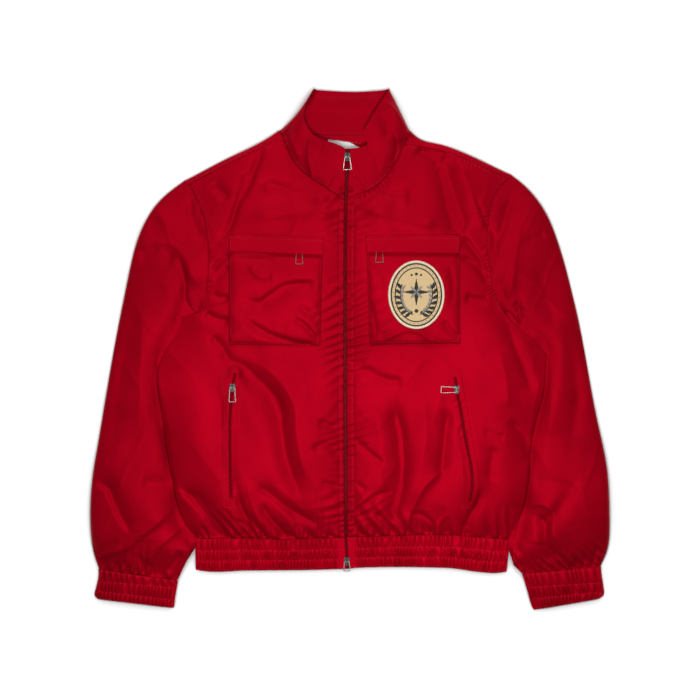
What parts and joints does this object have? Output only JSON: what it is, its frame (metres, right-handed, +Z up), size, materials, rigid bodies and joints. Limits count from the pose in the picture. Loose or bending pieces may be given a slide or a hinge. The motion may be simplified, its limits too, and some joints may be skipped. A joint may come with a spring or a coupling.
{
  "type": "nylon cargo jacket",
  "caption": "Short zipped nylon cargo jacket laid flat, sleeves at its sides, with a stand collar, flapped chest pockets, slanted hand pockets and a shirred hem and cuffs.",
  "frame": {"origin": "centre of the bounding box, on the surface that the jacket lies on", "axes": "+Z up out of that surface, +Y towards the collar, +X towards the wearer's left sleeve"},
  "size_m": [0.7816, 0.783, 0.031],
  "materials": {
    "red_nylon": "smooth woven nylon with a fine sheen",
    "red_shirred_nylon": "gathered nylon over elastic",
    "red_zip_tape": "woven tape with a coil chain",
    "cream_felt": "embroidered felt",
    "white_woven_label": "woven satin",
    "gunmetal_slider": "dark plated die casting",
    "nickel_wire": "nickel plated wire"
  },
  "bodies": {
    "garment": {"back_panel": "red_nylon", "front_right": "red_nylon", "front_left": "red_nylon", "sleeve_right": "red_nylon", "sleeve_left": "red_nylon", "collar": "red_nylon", "pocket_right": "red_nylon", "pocket_left": "red_nylon", "flap_right": "red_nylon", "flap_left": "red_nylon", "side_welt_right": "red_nylon", "side_welt_left": "red_nylon", "cuff_right": "red_shirred_nylon", "cuff_left": "red_shirred_nylon", "hem_band_right": "red_shirred_nylon", "hem_band_left": "red_shirred_nylon", "hem_band_back": "red_shirred_nylon", "main_zip": "red_zip_tape", "side_zip_right": "red_zip_tape", "side_zip_left": "red_zip_tape", "patch": "cream_felt", "neck_label": "white_woven_label", "slider_top": "gunmetal_slider", "slider_bottom": "gunmetal_slider", "slider_side_right": "gunmetal_slider", "slider_side_left": "gunmetal_slider", "slider_chest_right": "gunmetal_slider", "slider_chest_left": "gunmetal_slider"},
    "tab_top": {"pull_top": "nickel_wire"},
    "tab_bottom": {"pull_bottom": "nickel_wire"},
    "tab_side_right": {"pull_side_right": "nickel_wire"},
    "tab_side_left": {"pull_side_left": "nickel_wire"},
    "tab_chest_right": {"pull_chest_right": "nickel_wire"},
    "tab_chest_left": {"pull_chest_left": "nickel_wire"}
  },
  "joints": [
    {"name": "tab_top_hinge", "type": "hinge", "parent": "garment", "child": "tab_top", "pos_m": [-0.0032, 0.2876, 0.02197], "axis": [-1, 0, 0], "range_deg": [0, 150]},
    {"name": "tab_bottom_hinge", "type": "hinge", "parent": "garment", "child": "tab_bottom", "pos_m": [-0.004, -0.318, 0.01129], "axis": [-1, 0, 0], "range_deg": [0, 150]},
    {"name": "tab_side_right_hinge", "type": "hinge", "parent": "garment", "child": "tab_side_right", "pos_m": [-0.1745, -0.057, 0.02782], "axis": [-1, 0, 0], "range_deg": [0, 150]},
    {"name": "tab_side_left_hinge", "type": "hinge", "parent": "garment", "child": "tab_side_left", "pos_m": [0.1595, -0.06, 0.02761], "axis": [0, 1, 0], "range_deg": [0, 120]},
    {"name": "tab_chest_right_hinge", "type": "hinge", "parent": "garment", "child": "tab_chest_right", "pos_m": [-0.075, 0.152, 0.02198], "axis": [-1, 0, 0], "range_deg": [0, 10]},
    {"name": "tab_chest_left_hinge", "type": "hinge", "parent": "garment", "child": "tab_chest_left", "pos_m": [0.0446, 0.154, 0.022], "axis": [-1, 0, 0], "range_deg": [0, 10]}
  ]
}
